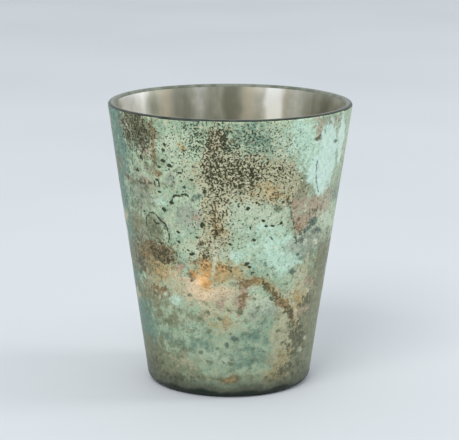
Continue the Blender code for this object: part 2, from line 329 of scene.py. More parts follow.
        (35.5, 37.8, 0.68, 0.5, 0, 1.1), (22.5, 37.7, 0.78, 0.5, 0, 1.1), (17, 31.3, 0.78, 0.5, 0, 1.1),
        (13.3, 34, 0.68, 0.46, 0, 1.1), (-5.3, 27.2, 1.08, 0.5, -8, 1.1), (0.5, 30.2, 0.89, 0.46, -15, 1.1),
        (-25, 34.4, 0.68, 0.5, 0, 1.1), (32.5, 22.3, 0.78, 0.61, 0, 1.1), (-6, 7.2, 1.08, 0.46, 0, 1.1),
    ],
    "ink": [
        (-31.5, 84, 0.51, 0.38, 0, 1.22), (-32.5, 82.3, 0.45, 0.42, 0, 1.22),
        (-33, 79.2, 0.77, 0.51, 0, 1.22), (-30.3, 77.7, 0.77, 0.51, 0, 1.22),
        (-36, 76.7, 0.51, 0.42, 0, 1.22), (-37.3, 68, 0.51, 0.42, 0, 1.22),
        (-34.7, 62.7, 0.68, 0.59, 0, 1.22), (-29.5, 65, 0.68, 0.42, 0, 1.22),
        (-46.7, 79.3, 0.94, 0.51, -30, 1.22), (-27.2, 56, 0.51, 0.42, 0, 1.22),
        (-27.3, 52.5, 0.51, 0.42, 0, 1.13), (-17, 54.5, 0.59, 0.38, 0, 1.13),
        (-19.5, 73, 0.51, 0.42, 0, 1.22), (-12.7, 75.7, 0.59, 0.51, 0, 1.22),
        (-12.3, 69.3, 0.51, 0.68, 0, 1.13), (-13.7, 58.7, 0.68, 0.68, 0, 1.13),
        (14.2, 54, 0.59, 0.38, 0, 1.22), (22.3, 53.7, 0.59, 0.38, 0, 1.22), (1.3, 52.6, 0.51, 0.38, 0, 1.22),
        (11.3, 58.3, 0.51, 0.38, 0, 1.22), (18, 60, 0.51, 0.38, 0, 1.22), (19.2, 58.4, 0.51, 0.38, 0, 1.22),
        (22, 58.3, 0.51, 0.38, 0, 1.22), (28, 59, 0.59, 0.38, 0, 1.22), (9.2, 64.2, 0.68, 0.51, 0, 1.22),
        (14, 66.3, 0.59, 0.42, 0, 1.22), (4.8, 65.2, 0.45, 0.38, 0, 1.22), (8.8, 45.6, 0.77, 0.42, 0, 1.13),
        (11, 44.6, 0.68, 0.38, 0, 1.02), (7.2, 43.5, 0.51, 0.38, 0, 1.02), (12.8, 42.4, 0.51, 0.38, 0, 1.13),
        (0.7, 43.2, 0.45, 0.38, 0, 1.13), (22, 42, 0.51, 0.38, 0, 1.13), (-51, 60.7, 0.68, 0.42, 0, 0.92),
        (-50.6, 74.3, 0.94, 0.38, 0, 1.13), (-25, 75, 0.68, 0.42, 0, 1.02), (-23, 70.5, 0.51, 0.38, 0, 1.02),
        (-45, 82, 0.51, 0.38, 0, 1.02), (-20, 48.8, 0.68, 0.42, 0, 0.92), (-22.5, 50, 0.59, 0.38, 0, 0.92),
        (5.5, 69.5, 0.68, 0.38, 0, 1.02), (24, 64.6, 0.68, 0.38, 0, 1.02),
    ],
}

# Each stroke: half width (mm), strength, and the (angle, height) points that it passes through.
STROKES = {
    "gold": [
        (1.4, 0.72, [
            (2, 44), (6, 41.8), (10, 40.6), (16, 40.6), (21, 39.4), (26, 37), (31, 33.6), (38, 29.6),
        ]),
    ],
    "rust": [
        (1.1, 0.54, [(6, 41), (10, 40.2), (16, 40.2), (21, 38.8)]),
        (1.1, 0.78, [(21, 38.8), (26, 36.4), (31, 33), (37, 29.6), (43, 25.6), (47, 21)]),
        (0.4, 1.0, [(-6.9, 66), (-7.2, 61), (-7.4, 56)]),
    ],
    "olive": [
        (1.5, 0.66, [(13, 40), (18, 39.4), (23, 37.4)]),
        (2.6, 0.72, [(-84, 69), (-78, 73), (-70, 75)]),
        (3.0, 0.74, [(-84, 46), (-75, 42), (-67, 40)]),
    ],
    "khaki": [
        (1.8, 0.74, [(-82, 58), (-76, 56), (-73, 57)]),
        (1.6, 0.72, [(-80, 28), (-74, 31), (-71, 30)]),
    ],
    "umber": [
        (1.2, 0.64, [(19, 39.2), (22.5, 38.3), (27, 35.8), (30, 34.2)]),
        (0.6, 0.75, [(24, 34.2), (27, 33.8)]),
        (0.6, 0.6, [(30.5, 67), (32.5, 63), (35, 59), (37, 55), (38.5, 51)]),
    ],
    "cream": [(0.5, 0.95, [(-6, 54), (-7.4, 51), (-8.2, 47), (-9.4, 42.5)])],
    "slate": [(0.42, 0.68, [(47, 78), (47, 75), (47.8, 71.5), (49.3, 69), (51.2, 67.2)])],
    "ink": [
        (0.32, 0.85, [
            (-49.5, 56), (-49, 58.5), (-46.5, 60.3), (-43.5, 61), (-40.5, 60.2), (-38, 58.6), (-35.5, 57.9),
        ]),
        (0.32, 0.85, [(-35.5, 57.9), (-34, 56), (-33.6, 53.5), (-34.3, 52)]),
        (0.36, 0.85, [(-43, 58.4), (-41.5, 57.3), (-39.5, 57.6)]),
        (0.34, 0.9, [(-30.3, 64.8), (-29.8, 66.5), (-28, 67.9), (-25, 68.1), (-22.5, 68.7), (-21, 68)]),
        (0.3, 0.85, [(-39.5, 70), (-39.8, 71.5), (-38.5, 72.3), (-37, 72), (-36.8, 70.6), (-37.8, 69.9)]),
    ],
}

# The strokes of the far side: finish, how many, half width (mm), number of points.
FAR_STROKES = [
    ("gold", 3, 1.5, 7), ("rust", 4, 0.9, 7), ("umber", 4, 0.6, 5), ("slate", 2, 0.4, 5), ("ink", 4, 0.3, 4),
]

# How thick the pinholes lie: angle, height, half width, half height (mm), share of the coat lost.
PINHOLES = [
    (-6.5, 78, 4.6, 13, 0.98), (-6, 87, 6, 5, 0.98), (3, 76, 8, 7, 1.0), (11, 76, 5, 6, 0.95),
    (25, 75, 8, 5, 0.6), (8, 87, 10, 5, 0.62), (24, 84, 9, 7, 0.42), (-15, 86, 4, 6, 0.8),
    (-6, 59, 5, 8, 0.66), (-13.4, 50, 1.6, 4.4, 0.7), (-26, 82, 7, 10, 0.3), (22, 67, 6, 3.6, 0.5),
    (-48.5, 87, 7.6, 7, 0.8), (-3, 86, 2.6, 4, 1.1), (-8, 74.5, 2, 3, 1.15), (10.5, 75.5, 2.4, 3, 1.2),
    (4, 72, 3, 2, 1.0), (32, 72, 5, 4, 0.5), (-7.2, 61, 1, 7, 0.8), (-41, 48, 8, 4, 0.5),
    (45, 19, 5, 9, 0.45), (30, 34, 6, 3, 0.4), (-21, 84, 2, 2, 0.5), (5, 67.5, 6, 3, 0.5),
    (1, 84, 3, 4, 0.9), (-3, 29, 8, 4, 0.15), (-92, 70, 6, 8, 0.5), (-94, 30, 7, 6, 0.4),
]
PINHOLES_ELSEWHERE = 0.08

# Where the coat and the silver are worn thin, and the flame shines through: angle, height, half
# width, half height (mm), share.
THIN = [(-16.6, 40.2, 1.9, 2.2, 0.31), (-14, 39.5, 7, 6, 0.14)]

# The inside's bands, each from the rim to the floor: angle from the back, positive to the right, half
# width (mm), strength. The dull and warm bands are partly tarnish and partly painted reflections in the
# silver; the bright bands are painted highlights.
INSIDE = {
    "tarnish_and_dark_reflection": [
        (-31, 3, 0.4), (-24.5, 2.2, 0.52), (-8, 3, 0.42), (1, 3.2, 1.0), (9, 2.4, 0.36), (50, 4, 0.42),
        (58, 6, 0.54),
    ],
    "warm": [(-36, 3, 0.7), (10, 4, 0.5), (30, 4, 0.5)],
    "painted_highlight_band": [
        (-60, 6.4, 1.25), (-70, 5, 1.0), (-17, 2.2, 0.4), (24, 2.8, 1.15), (17, 3, 0.28), (37, 3.5, 0.42),
        (80, 8, 0.4),
    ],
}

# The paint of each finish: two tones, the size of the lumps at its edge (mm), how ragged and how soft
# that edge is, and how much of what is under it the paint hides.
FINISHES = [
    ("teal", "648a7c", "507266", 3.0, 2.2, 0.28, 0.90),
    ("sage", "ccd8bf", "b6c4a9", 4.0, 1.5, 0.26, 0.85),
    ("olive", "848061", "6b684b", 3.0, 2.2, 0.24, 0.85),
    ("khaki", "cfcaa9", "b0ab88", 3.0, 1.9, 0.18, 0.85),
    ("mint", "cdead8", "b4d7c0", 3.0, 1.9, 0.22, 0.85),
    ("grey", "a1aa98", "868f80", 2.0, 1.6, 0.18, 0.80),
    ("gold", "c3a873", "9e8654", 2.0, 2.4, 0.22, 0.78),
    # Blush: partly stain, partly a painted glow of the flame.
    ("blush_and_glow", "efd6b6", "dac19d", 2.0, 2.0, 0.28, 0.80),
    ("pink", "bba28d", "947f6c", 2.0, 2.0, 0.22, 0.80),
    ("rust", "997d55", "70593a", 1.6, 2.6, 0.18, 0.85),
    ("umber", "69644a", "4f4b35", 1.6, 3.0, 0.14, 0.82),
    # Amber: partly stain, partly a painted glow of the flame.
    ("amber_and_glow", "e8b06e", "bf8d4e", 1.3, 2.8, 0.32, 0.86),
    # Pale: partly pale coat, partly a painted reflection of a window.
    ("pale", "d4ece0", "c0dcce", 2.6, 1.1, 0.12, 0.92),
    ("moss", "717b5a", "59634a", 1.2, 2.0, 0.22, 0.84),
    ("slate", "596f65", "45564e", 1.4, 1.6, 0.18, 0.88),
    ("cream", "dbdcc4", "ccd0b2", 1.2, 1.2, 0.18, 0.70),
]


def smoothstep(value, low, high):
    share = np.clip((value - low) / (high - low), 0, 1)
    return share * share * (3 - 2 * share)


def fading(reach):
    """A stain's strength, which halves a little outside its half width."""
    return 0.5 ** (reach**2 * 0.9)


def wander(lot, steps):
    """A stroke that wanders down the far side of the cup, by about 3 mm a step."""
    angle, height, heading = lot.uniform(105, 250), lot.uniform(30, 88), lot.uniform(-2.6, -0.5)
    path = []
    for _ in range(steps):
        path.append((angle, height))
        heading += lot.uniform(-0.5, 0.5)
        angle = min(max(angle + 4.5 * math.cos(heading), 95), 262)
        height += 2.8 * math.sin(heading)
    return path


def far_side():
    """The finishes of the side that faces away: nearly all of the front's stains, scattered, with
    strokes, and with pinholes where the khaki lies."""
    lot = random.Random(7)
    stains, strokes, pinholes = {}, {}, []
    for finish, front in STAINS.items():
        # The painted glow of the flame, in amber and blush, stays on the front where the flame is.
        if finish in ("amber_and_glow", "blush_and_glow"):
            continue
        stains[finish] = []
        for _, _, wide, high, tilt, strength in front:
            angle, height = lot.uniform(92, 268), lot.uniform(4, 92)
            stains[finish].append((angle, height, wide, high, tilt, strength))
            if finish == "khaki":
                pinholes.append((angle, height, wide, high, lot.uniform(0.3, 1.1)))
    for finish, count, half_width, steps in FAR_STROKES:
        strokes[finish] = [(half_width, 0.85, wander(lot, steps)) for _ in range(count)]
    return stains, strokes, pinholes


def coat_fields(points):
    """{attribute: value at each point} of the layout, over places that noise has pushed about."""
    flatter = 0.8  # the share of the push that counts up and down
    pushed = np.array([
        1.2 * noise.noise_vector(Vector(p) / (7 * MM)) + 0.6 * noise.noise_vector(Vector(p) / (2.5 * MM))
        for p in points
    ])
    radius = np.hypot(points[:, 0], points[:, 1]) / MM
    per_degree = np.radians(1) * np.maximum(radius, 1)
    angle = np.degrees(np.arctan2(points[:, 0], -points[:, 1])) + pushed[:, 0] / per_degree
    height = points[:, 2] / MM + flatter * pushed[:, 2]
    fields = {}

    def away(a, h, steady=0.0):
        """Where a place on the glass lies from each point, in mm, with a share of the push taken back."""
        x = ((a - angle + 180) % 360 - 180) * per_degree + steady * pushed[:, 0]
        return x, h - height + steady * flatter * pushed[:, 2]

    def add(name, value):
        fields[name] = np.maximum(fields.get(name, 0), value)

    far_stains, far_strokes, far_pinholes = far_side()
    for finish, stains in [*STAINS.items(), *far_stains.items()]:
        for a, h, wide, high, tilt, strength in stains:
            x, y = away(a, h)
            cos, sin = math.cos(math.radians(tilt)), math.sin(math.radians(tilt))
            reach = np.hypot((x * cos + y * sin) / wide, (y * cos - x * sin) / high)
            add(finish, strength * fading(reach))
    for finish, strokes in [*STROKES.items(), *far_strokes.items()]:
        for width, strength, path in strokes:
            for (a0, h0), (a1, h1) in zip(path, path[1:]):
                x0, y0 = away(a0, h0, 0.75)
                run_x, run_y = (a1 - a0) * per_degree, h1 - h0
                along = np.clip(-(x0 * run_x + y0 * run_y) / (run_x**2 + run_y**2), 0, 1)
                reach = np.hypot(x0 + along * run_x, y0 + along * run_y) / width
                add(finish, strength * fading(reach))
    for a, h, wide, high, share in PINHOLES + far_pinholes:
        x, y = away(a, h)
        add("pinholes", share * np.exp(-((x / wide) ** 2 + (y / high) ** 2) / 1.6))
    fields["pinholes"] = np.maximum(fields["pinholes"], PINHOLES_ELSEWHERE)
    # Each is 0 above the first height and 1 below the second, in mm.
    # heel: bare dark glass low down, and painted contact shadow at the very foot.
    fields["heel_and_contact_shade"] = smoothstep(height, 10.5, 0.5)
    # low: painted shade, darker towards the bottom.
    fields["low"] = smoothstep(height, 42, 4)
    fields["calm"] = smoothstep(height, 58, 14)
    for a, h, wide, high, share in THIN:
        x, y = away(a, h)
        add("thin", share * 0.5 ** ((x / wide) ** 2 + (y / high) ** 2))
    for finish, bands in INSIDE.items():
        for a, wide, strength in bands:
            x, _ = away(180 - a, 0)
            add(finish, strength * 0.5 ** ((x / wide) ** 2))
    return fields


# ---- mesh work
def linked(name, data):
    """A new object that holds the data, in the scene."""
    thing = bpy.data.objects.new(name, data)
    bpy.context.collection.objects.link(thing)
    return thing


def smooth_piece(name, points, faces):
    mesh = bpy.data.meshes.new(name)
    mesh.from_pydata(points, [], faces)
    mesh.shade_smooth()
    return linked(name, mesh)


def rounded(corners):
    """The outline through corners of (radius, height, rounding), each turned on an arc."""
    points = []
    for i, (x, z, rounding) in enumerate(corners):
        corner = Vector((x, z))
        if not rounding:
            points.append(corner)
            continue
        to_before = (Vector(corners[i - 1][:2]) - corner).normalized()
        to_after = (Vector(corners[(i + 1) % len(corners)][:2]) - corner).normalized()
        half = to_before.angle(to_after) / 2
        centre = corner + (to_before + to_after).normalized() * rounding / math.sin(half)
        start = corner + to_before * rounding / math.tan(half) - centre
        sweep = start.angle_signed(corner + to_after * rounding / math.tan(half) - centre)
        for step in range(ARC_STEPS + 1):
            turn = -sweep * step / ARC_STEPS
            cos, sin = math.cos(turn), math.sin(turn)
            points.append(centre + Vector((start.x * cos - start.y * sin, start.x * sin + start.y * cos)))
    return points


def filled(outline, steps):
    """The outline with points added, which are at most steps(middle of the stretch) apart."""
    points = [outline[0]]
    for a, b in zip(outline, outline[1:]):
        pieces = max(1, math.ceil((b - a).length / steps((a + b) / 2)))
        points += [a.lerp(b, k / pieces) for k in range(1, pieces + 1)]
    return points


def lathe(name, outline, turns, place=(0, 0, 0), ring=False, push=None):
    """A turned piece, whose outline runs down its outer side. With ring, its end joins its start.
    push(points) moves the finished points."""
    tips = [p.x < 1e-7 for p in outline]
    points, faces, first = [], [], []
    for p, tip in zip(outline, tips):
        first.append(len(points))
        for k in range(1 if tip else turns):
            angle = 2 * math.pi * k / turns
            points.append((p.x * math.sin(angle), -p.x * math.cos(angle), p.y))
    rings = list(range(len(outline)))
    for i, j in zip(rings, rings[1:] + (rings[:1] if ring else [])):
        for k in range(turns):
            n = (k + 1) % turns
            a, b = (first[i], first[i]) if tips[i] else (first[i] + k, first[i] + n)
            c, d = (first[j], first[j]) if tips[j] else (first[j] + n, first[j] + k)
            face = list(dict.fromkeys((a, d, c, b)))
            if len(face) > 2:
                faces.append(face)
    points = np.array(points)
    if push:
        points = push(points)
    return smooth_piece(name, points + np.array(place), faces)


def around(points):
    """Each point's distance from the axis, and its angle from the front."""
    return np.maximum(np.hypot(points[:, 0], points[:, 1]), 1e-9), np.arctan2(points[:, 0], -points[:, 1])


def hump(value, middle, width):
    """1 where value is at the middle, and fading on both sides of it."""
    return np.exp(-(((value - middle) / width) ** 2))


def write_fields(piece, fields):
    """Gives the piece each field as an attribute, for the masks."""
    for name, values in fields.items():
        layer = piece.data.attributes.new(name, "FLOAT", "POINT")
        layer.data.foreach_set("value", np.asarray(values, np.float32))


def points_of(piece):
    flat = np.empty(len(piece.data.vertices) * 3, np.float32)
    piece.data.vertices.foreach_get("co", flat)
    return flat.reshape(-1, 3).astype(float)


def field_noise(points, size, seed=0.0):
    """Noise from about -1 to 1 at each point, in lumps about size across."""
    return np.array([noise.noise(Vector(p) / size + Vector((seed, seed, 0))) for p in points])


# ---- materials
# Noise lies mostly between 0.3 and 0.7, so most ramps run between two values in that range.


def verdigris_coat():
    p = Paint("verdigris_coat", Coat_Weight=0.04, Coat_Roughness=0.25)
    p.shader.inputs["Specular IOR Level"].default_value = 0.16
    tone = p.ramp(p.noise(1.6 * MM, 5, 0.7), 0.38, 0.62)
    mottle = p.noise(2.6 * MM, 6, 0.7)
    colour = p.mix(p.ramp(p.noise(10 * MM, 4, 0.6), 0.4, 0.6), "9cb398", "b4c8aa")
    colour = p.mix(p.times(p.ramp(mottle, 0.51, 0.63), 0.65), colour, "bec3a3")
    colour = p.mix(p.times(p.ramp(mottle, 0.46, 0.34), 0.75), colour, "7d9078")
    covers = {}
    # Each finish in turn, among them a painted glow of the flame and a painted reflection of a window.
    for name, light, dark, lump, ragged, soft, hiding in FINISHES:
        covers[name] = p.cover(name, lump * MM, ragged, soft)
        colour = p.mix(p.times(covers[name], hiding), colour, p.mix(tone, light, dark))
    # Weather over all of it: pale and dark flecks. And painted shade: the coat darker towards the bottom.
    fleck = p.noise(1.3 * MM, 6, 0.75)
    flecked = p.times(p.between(covers["pale"], 1.0, 0.4), p.between(p.mask("calm"), 1.0, 0.45))
    light_fleck, dark_fleck = p.ramp(fleck, 0.54, 0.66, 0.0, 0.35), p.ramp(fleck, 0.46, 0.36, 0.0, 0.38)
    colour = p.mix(p.times(light_fleck, flecked), colour, "dbe0c6")
    colour = p.mix(p.times(dark_fleck, flecked), colour, "626c54")
    # Painted shade: the coat darker towards the bottom.
    colour = p.mix(p.times(p.mask("low"), 0.40), colour, "657360")
    # Pinholes: a worm-eaten net where they lie thick, and round pits elsewhere.
    share = p.mask("pinholes")
    net = p.math("SUBTRACT", p.noise(0.62 * MM, 3, 0.6, twist=0.5), p.times(share, 0.17))
    holes = p.ramp(net, 0.38, 0.35)
    for cell, pit, part in ((1.5, 0.26, p.math("ADD", share, 0.06)), (2.3, 0.38, 0.30), (4.3, 0.45, 0.25)):
        holes = p.math("MAXIMUM", holes, p.dots(cell * MM, pit * MM, part))
    # Fewer of them where the coat is sound, and low down.
    for sound, left in ((covers["pale"], 0.1), (covers["mint"], 0.6), (p.mask("calm"), 0.35)):
        holes = p.times(holes, p.between(sound, 1.0, left))
    brown = p.math("MAXIMUM", covers["khaki"], covers["umber"])
    colour = p.mix(p.times(holes, 0.95), colour, p.mix(brown, "303a29", "342e1d"))
    ink = p.cover("ink", 0.7 * MM, 1.3, 0.14)
    colour = p.mix(ink, colour, p.mix(tone, "39432f", "2b3424"))
    grain = p.noise(0.55 * MM, 3, 0.7)
    colour = p.mix(p.ramp(grain, 0.34, 0.6, 0.15, 0.0), colour, "5c6655")
    # The heel is bare dark glass; the darkest line at its very foot is partly that thick glass and partly
    # painted contact shadow.
    colour = p.mix(p.cover("heel_and_contact_shade", 5 * MM, 0.6, 0.5), colour, p.mix(tone, "58594a", "444a3e"))
    colour = p.mix(p.ramp(p.mask("heel_and_contact_shade"), 0.86, 0.985), colour, "1f2b22")
    p.put("Base Color", colour)
    pits = p.math("MAXIMUM", holes, ink)
    p.put("Roughness", p.between(pits, p.between(covers["pale"], 0.42, 0.26), 0.62))
    p.put("Metallic", p.times(brown, 0.25))
    height = p.math("SUBTRACT", p.times(mottle, 0.35), p.times(pits, 0.6))
    p.relief(p.math("ADD", height, p.times(covers["pale"], 0.3)), 0.12 * MM, 0.8)
    worn = p.ramp(p.noise(0.9 * MM, 3, 0.6), 0.35, 0.65, 0.35, 1.0)
    p.put("Transmission Weight", p.times(p.mask("thin"), worn))
    return p.material


def old_silver():
    p = Paint("old_silver")
    runs = p.noise(3.2 * MM, 4, 0.6, stretch=(1, 1, 9))
    colour = p.mix(p.ramp(runs, 0.36, 0.64), "b6b6a8", "a3a394")
    # Bands of tarnish and painted reflection: the dull and warm ones partly each, the bright ones painted
    # highlights.
    for bands, paint in (("tarnish_and_dark_reflection", "7f8070"), ("warm", "c6bdaa"), ("painted_highlight_band", "f8f8f4")):
        colour = p.mix(p.cover(bands, 6 * MM, 0.5, 0.4), colour, paint)
    specks = p.dots(2.6 * MM, 0.22 * MM, 0.15)
    colour = p.mix(p.times(specks, 0.5), colour, "5d5646")
    p.put("Base Color", colour)
    p.put("Roughness", p.between(p.ramp(p.noise(5 * MM, 3), 0.35, 0.65), 0.30, 0.42))
    p.relief(p.noise(7 * MM, 2, 0.5, stretch=(1, 1, 4)), 0.2 * MM, 0.4)
    worn = p.ramp(p.mask("thin"), 0.04, 0.3)
    for socket in ("Metallic", "Alpha"):
        p.put(socket, p.between(worn, 1.0, 0.0))
    return p.material


def bare_glass():
    p = Paint("bare_glass")
    p.shader.inputs["Specular IOR Level"].default_value = 0.25
    waves = p.ramp(p.noise(3 * MM, 3), 0.4, 0.6)
    outer = p.mix(waves, "262c27", "363e37")
    inner = p.mix(waves, "656c62", "7c8378")
    p.put("Base Color", p.mix(p.mask("outward"), inner, outer))
    p.put("Roughness", p.between(waves, 0.30, 0.42))
    p.relief(p.noise(1.5 * MM, 2), 0.05 * MM, 0.5)
    return p.material


def rolled_aluminium():
    p = Paint("rolled_aluminium", Metallic=1.0)
    lines = p.noise(0.35 * MM, 3, 0.6, stretch=(60, 60, 1))
    dents = p.noise(7 * MM, 2)
    p.put("Base Color", p.mix(p.ramp(dents, 0.4, 0.6), "dcdddf", "c6c8cb"))
    p.put("Roughness", p.between(p.ramp(lines, 0.4, 0.6), 0.2, 0.36))
    p.relief(p.math("ADD", p.times(lines, 0.15), dents), 0.12 * MM, 0.5)
    return p.material


def paraffin():
    p = Paint("paraffin", Subsurface_Weight=0.35, Subsurface_Scale=3 * MM)
    p.shader.inputs["Subsurface Radius"].default_value = (1.0, 0.75, 0.5)
    cloud = p.ramp(p.noise(3 * MM, 4, 0.6), 0.38, 0.64)
    colour = p.mix(cloud, "f3eddd", "e6ddc6")
    # Painted glow: the wax warmer in colour near the flame.
    colour = p.mix(p.mask("painted_flame_glow"), colour, "f0cf93")
    p.put("Base Color", colour)
    p.put("Roughness", p.between(cloud, 0.32, 0.5))
    p.relief(p.noise(1.2 * MM, 3), 0.06 * MM, 0.5)
    return p.material


def melted_wax():
    p = Paint("melted_wax", Transmission_Weight=0.8, IOR=1.43, Roughness=0.03)
    # Painted glow: the melted wax warmer in colour near the flame.
    p.put("Base Color", p.mix(p.mask("painted_flame_glow"), "f6efdf", "fbd28c"))
    p.relief(p.noise(5 * MM, 1), 0.05 * MM, 0.4)
    return p.material


def wick_cotton():
    p = Paint("wick_cotton", Roughness=0.9)
    fibre = p.ramp(p.noise(0.15 * MM, 3, 0.6, stretch=(1, 1, 5)), 0.35, 0.65)
    raw = p.mix(fibre, "e2d9c0", "c2b594")
    burnt = p.mix(fibre, "1d1714", "3a2f28")
    p.put("Base Color", p.mix(p.mask("char"), raw, burnt))
    p.relief(fibre, 0.05 * MM, 0.8)
    p.put("Emission Color", p.mix(fibre, "ff8a2a", "ff4a0c"))
    p.put("Emission Strength", p.times(p.mask("ember"), 6.0))
    return p.material


def tinned_steel():
    p = Paint("tinned_steel", Metallic=1.0)
    wear = p.ramp(p.noise(1.5 * MM, 4, 0.6), 0.4, 0.62)
    p.put("Base Color", p.mix(wear, "b9babb", "a09f9c"))
    p.put("Roughness", p.between(wear, 0.26, 0.44))
    p.relief(wear, 0.03 * MM, 0.5)
    return p.material


def flame_light():
    p = Paint("flame_light", Roughness=1.0)
    p.shader.inputs["Base Color"].default_value = (0, 0, 0, 1)
    p.shader.inputs["Specular IOR Level"].default_value = 0
    up = p.mask("up")
    colour = p.mix(p.ramp(up, 0.05, 0.3), "4a5cd0", "ffa53a")
    colour = p.mix(p.ramp(up, 0.2, 0.55), colour, "ffd27a")
    p.put("Emission Color", p.mix(p.ramp(up, 0.8, 1.0), colour, "ff9a3c"))
    p.put("Emission Strength", p.ramp(up, 0.03, 0.4, 0.25, 5.0))
    p.put("Alpha", p.ramp(up, 0.0, 0.35, 0.15, 0.85))
    p.material.cycles.emission_sampling = "NONE"
    return p.material


# ---- the pieces
def mid_wall(height):
    """The radius of the middle of the glass's wall."""
    return GLASS_FOOT_R + height * math.tan(LEAN) - ACROSS / 2


def glass_outline():
    """Closely spaced up the coated outside, which carries the layout, and loosely elsewhere."""
    close, loose = 0.64 * MM, 2.6 * MM
    inner_floor_r = GLASS_FOOT_R + GLASS_FLOOR * math.tan(LEAN) - ACROSS
    outline = rounded([
        (0, GLASS_FLOOR, 0),
        (inner_floor_r, GLASS_FLOOR, GLASS_CORNER_R),
        (GLASS_RIM_R - ACROSS, GLASS_HEIGHT, GLASS_EDGE_R),
        (GLASS_RIM_R, GLASS_HEIGHT, GLASS_EDGE_R),
        (GLASS_FOOT_R, 0, GLASS_HEEL_R),
        (FOOT_RING_R, 0, FOOT_RING_EDGE_R),
    ])
    # The punt is a cap of a sphere.
    sphere_r = (FOOT_RING_R**2 + PUNT_RISE**2) / (2 * PUNT_RISE)
    punt_r = outline[-1].x
    for step in reversed(range(PUNT_STEPS)):
        radius = punt_r * step / PUNT_STEPS
        outline.append(Vector((radius, PUNT_RISE - sphere_r + math.sqrt(sphere_r**2 - radius**2))))

    def spacing(middle):
        return close if middle.x > mid_wall(middle.y) and middle.y > GLASS_HEEL_R / 2 else loose

    return filled(outline, spacing)


def hand_made(points):
    """Slow waves in the glass's wall and rim, none of them out of the CAD's box."""
    inset, still_r = 0.12 * MM, 5 * MM
    radius, _ = around(points)
    rise = np.clip(points[:, 2] / GLASS_HEIGHT, 0, 1)
    waves = 0.10 * MM * field_noise(points, 26 * MM) + 0.04 * MM * field_noise(points, 7 * MM, 5.0)
    share = 1 + (waves - inset) * np.clip(rise * 4, 0, 1) / radius
    points[:, :2] *= np.where(radius > still_r, share, 1)[:, None]
    dip = 0.12 * MM * (field_noise(points * [1, 1, 0], 30 * MM, 9.0) - 0.8)
    points[:, 2] += dip * np.clip(rise * 8 - 7, 0, 1)
    return points


def make_glass():
    glass = lathe("glass_cup_coated", glass_outline(), TURNS_GLASS, push=hand_made)
    points = points_of(glass)
    radius, _ = around(points)
    underside = points[:, 2] < GLASS_FLOOR * 0.6
    outside = underside | (radius > mid_wall(points[:, 2]))
    fields = coat_fields(points)
    fields["outward"] = smoothstep(radius, GLASS_RIM_R - 1.6 * MM, GLASS_RIM_R - 0.7 * MM)
    write_fields(glass, fields)
    for finish in (verdigris_coat(), old_silver(), bare_glass()):
        glass.data.materials.append(finish)
    coat, silver, bare = range(3)
    slots = []
    for face in glass.data.polygons:
        corners = list(face.vertices)
        coated = outside[corners].all()
        below_rim = GLASS_HEIGHT - points[corners, 2].mean()
        if below_rim < (BARE_RIM if coated else BARE_RIM_INSIDE):
            slots.append(bare)
        else:
            slots.append(coat if coated else silver)
    glass.data.polygons.foreach_set("material_index", slots)
    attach(glass, "glass")
    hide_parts("glass_cup")


def on_axis(height):
    """The place at that height on the tealight's axis."""
    return AXIS + Vector((0, 0, height))


def make_tin():
    height = TIN_HIGH.z - TIN_LOW.z
    bead_r = TIN_TOP_R + TIN_BEAD
    outline = rounded([
        (0, TIN_WALL, 0),
        (TIN_FOOT_R - TIN_WALL, TIN_WALL, TIN_CORNER_R - TIN_WALL),
        (TIN_TOP_R - TIN_WALL, height, 0.4 * TIN_BEAD),
        (bead_r, height, TIN_BEAD_R),
        (bead_r, height - TIN_BEAD, TIN_BEAD_R),
        (TIN_TOP_R, height - TIN_BEAD, 0),
        (TIN_FOOT_R, 0, TIN_CORNER_R),
        (0, 0, 0),
    ])
    outline = filled(outline, lambda middle: 0.8 * MM)

    def crimped(points):
        """Fine pleats from the press, strongest under the bead, and a pressed ring in the base."""
        pleats, depth, inset, ring_height = 72, 0.035 * MM, 0.04 * MM, 0.12 * MM
        radius, angle = around(points)
        rise = np.clip(points[:, 2] / height, 0, 1)
        pleat = depth * np.cos(angle * pleats) * smoothstep(rise, 0.15, 0.85) * (radius > TIN_FOOT_R * 0.9)
        points[:, :2] *= (1 + (pleat - inset) / radius)[:, None]
        base = (points[:, 2] < 2 * TIN_WALL) & (radius < TIN_FOOT_R - 2 * MM)
        ring = ring_height * (smoothstep(radius, 15 * MM, 14 * MM) - smoothstep(radius, 9 * MM, 8 * MM))
        points[:, 2] += np.where(base, ring, 0)
        return points

    tin = lathe("tin_cup", outline, TURNS_TIN, on_axis(TIN_LOW.z), push=crimped)
    tin.data.materials.append(rolled_aluminium())
    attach(tin, "tealight")
    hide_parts("tealight_cup")


# Used for a painted glow of the flame on the wax.
def painted_flame_glow(points):
    """How near each point is to the flame, from 0 to 1."""
    return np.exp(-np.hypot(points[:, 0] - AXIS.x, points[:, 1] - AXIS.y) / (4 * MM))


